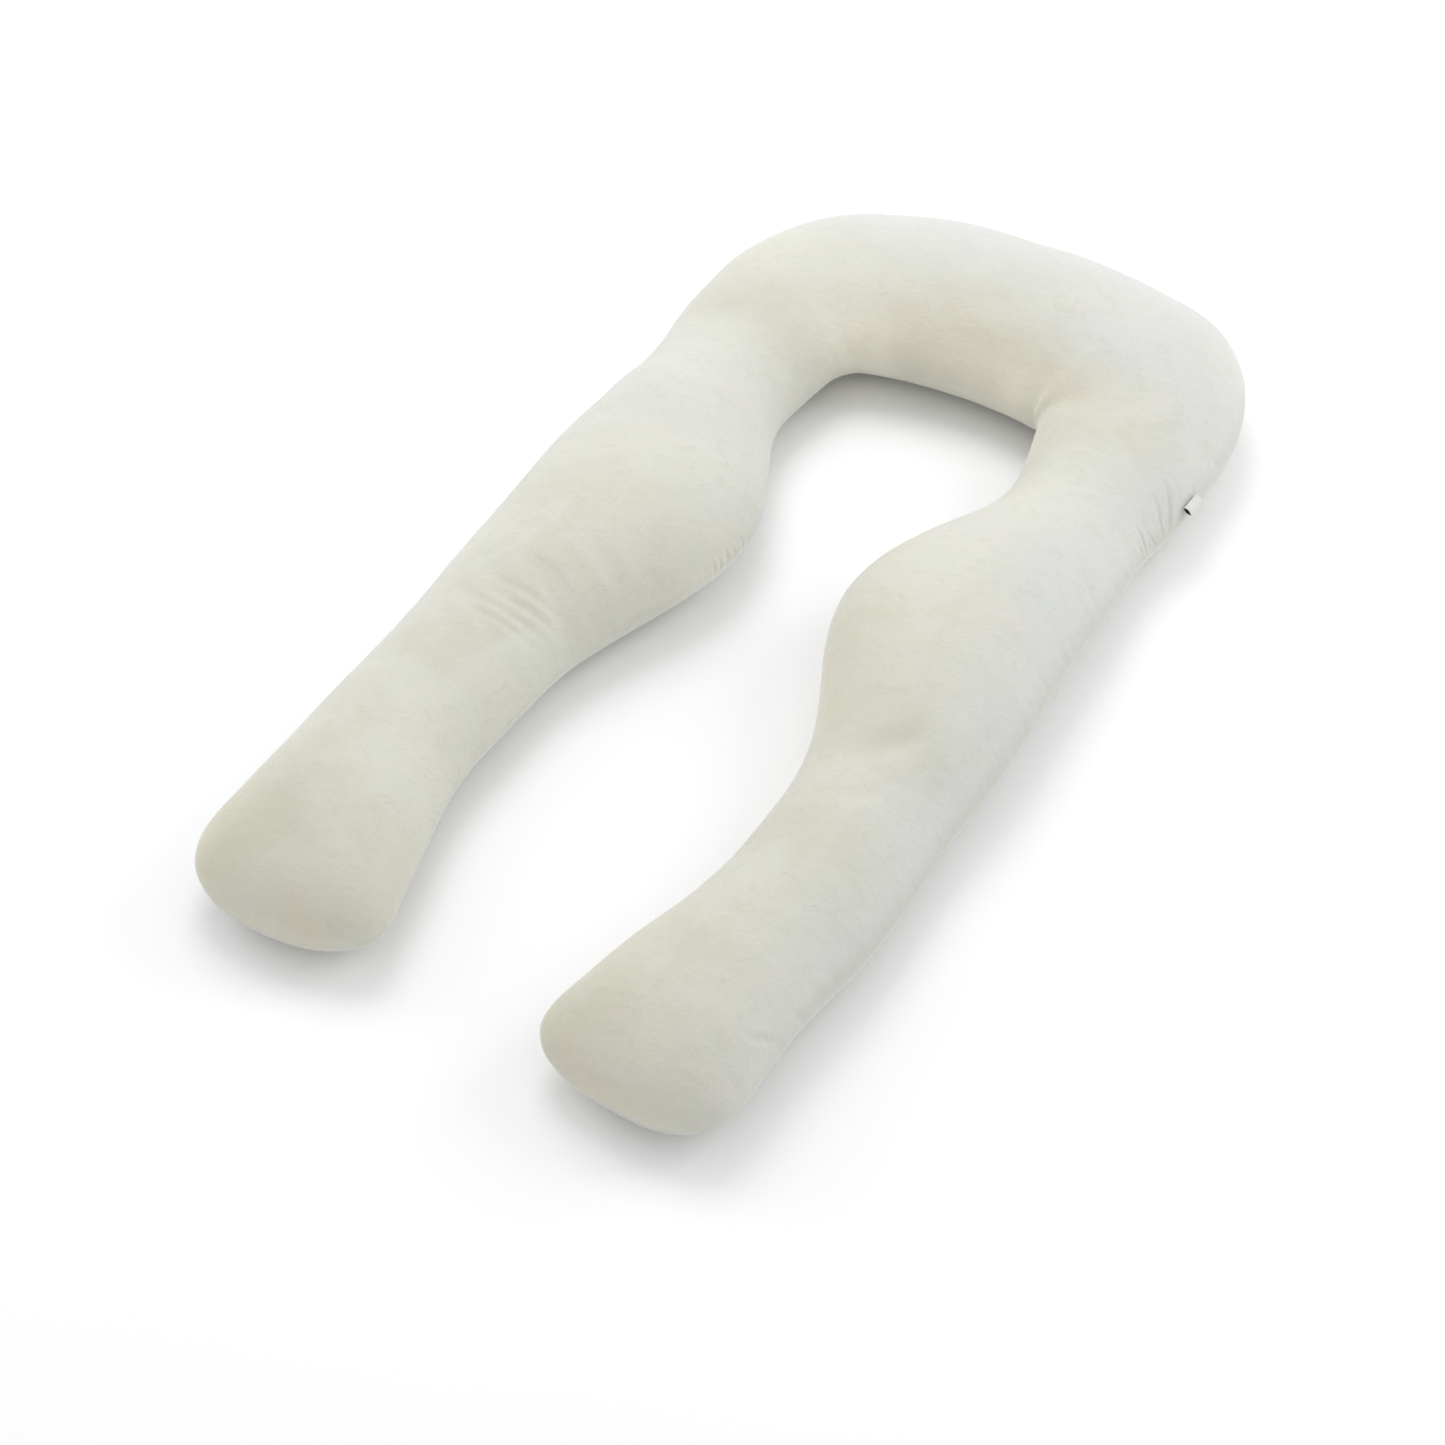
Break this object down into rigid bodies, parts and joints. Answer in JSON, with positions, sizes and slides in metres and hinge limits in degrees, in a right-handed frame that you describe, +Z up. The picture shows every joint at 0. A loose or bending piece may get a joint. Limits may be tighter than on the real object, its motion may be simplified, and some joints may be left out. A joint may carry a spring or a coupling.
{
  "type": "pregnancy pillow",
  "caption": "U-shaped full-body pillow with two waved legs joined by a wide bridge, in a plush cover sewn from two panels.",
  "frame": {"origin": "under the middle of the whole pillow's box, on the surface it lies on", "axes": "+X across the two legs, to the side with the loop label; +Y from the leg ends to the bridge; +Z up"},
  "size_m": [0.7128, 1.3924, 0.1491],
  "materials": {
    "plush_cover": "short brushed plush, ivory",
    "label_tape": "woven satin tape, white"
  },
  "bodies": {
    "root": {"pillow_body": "plush_cover", "loop_label": "label_tape"}
  },
  "joints": []
}
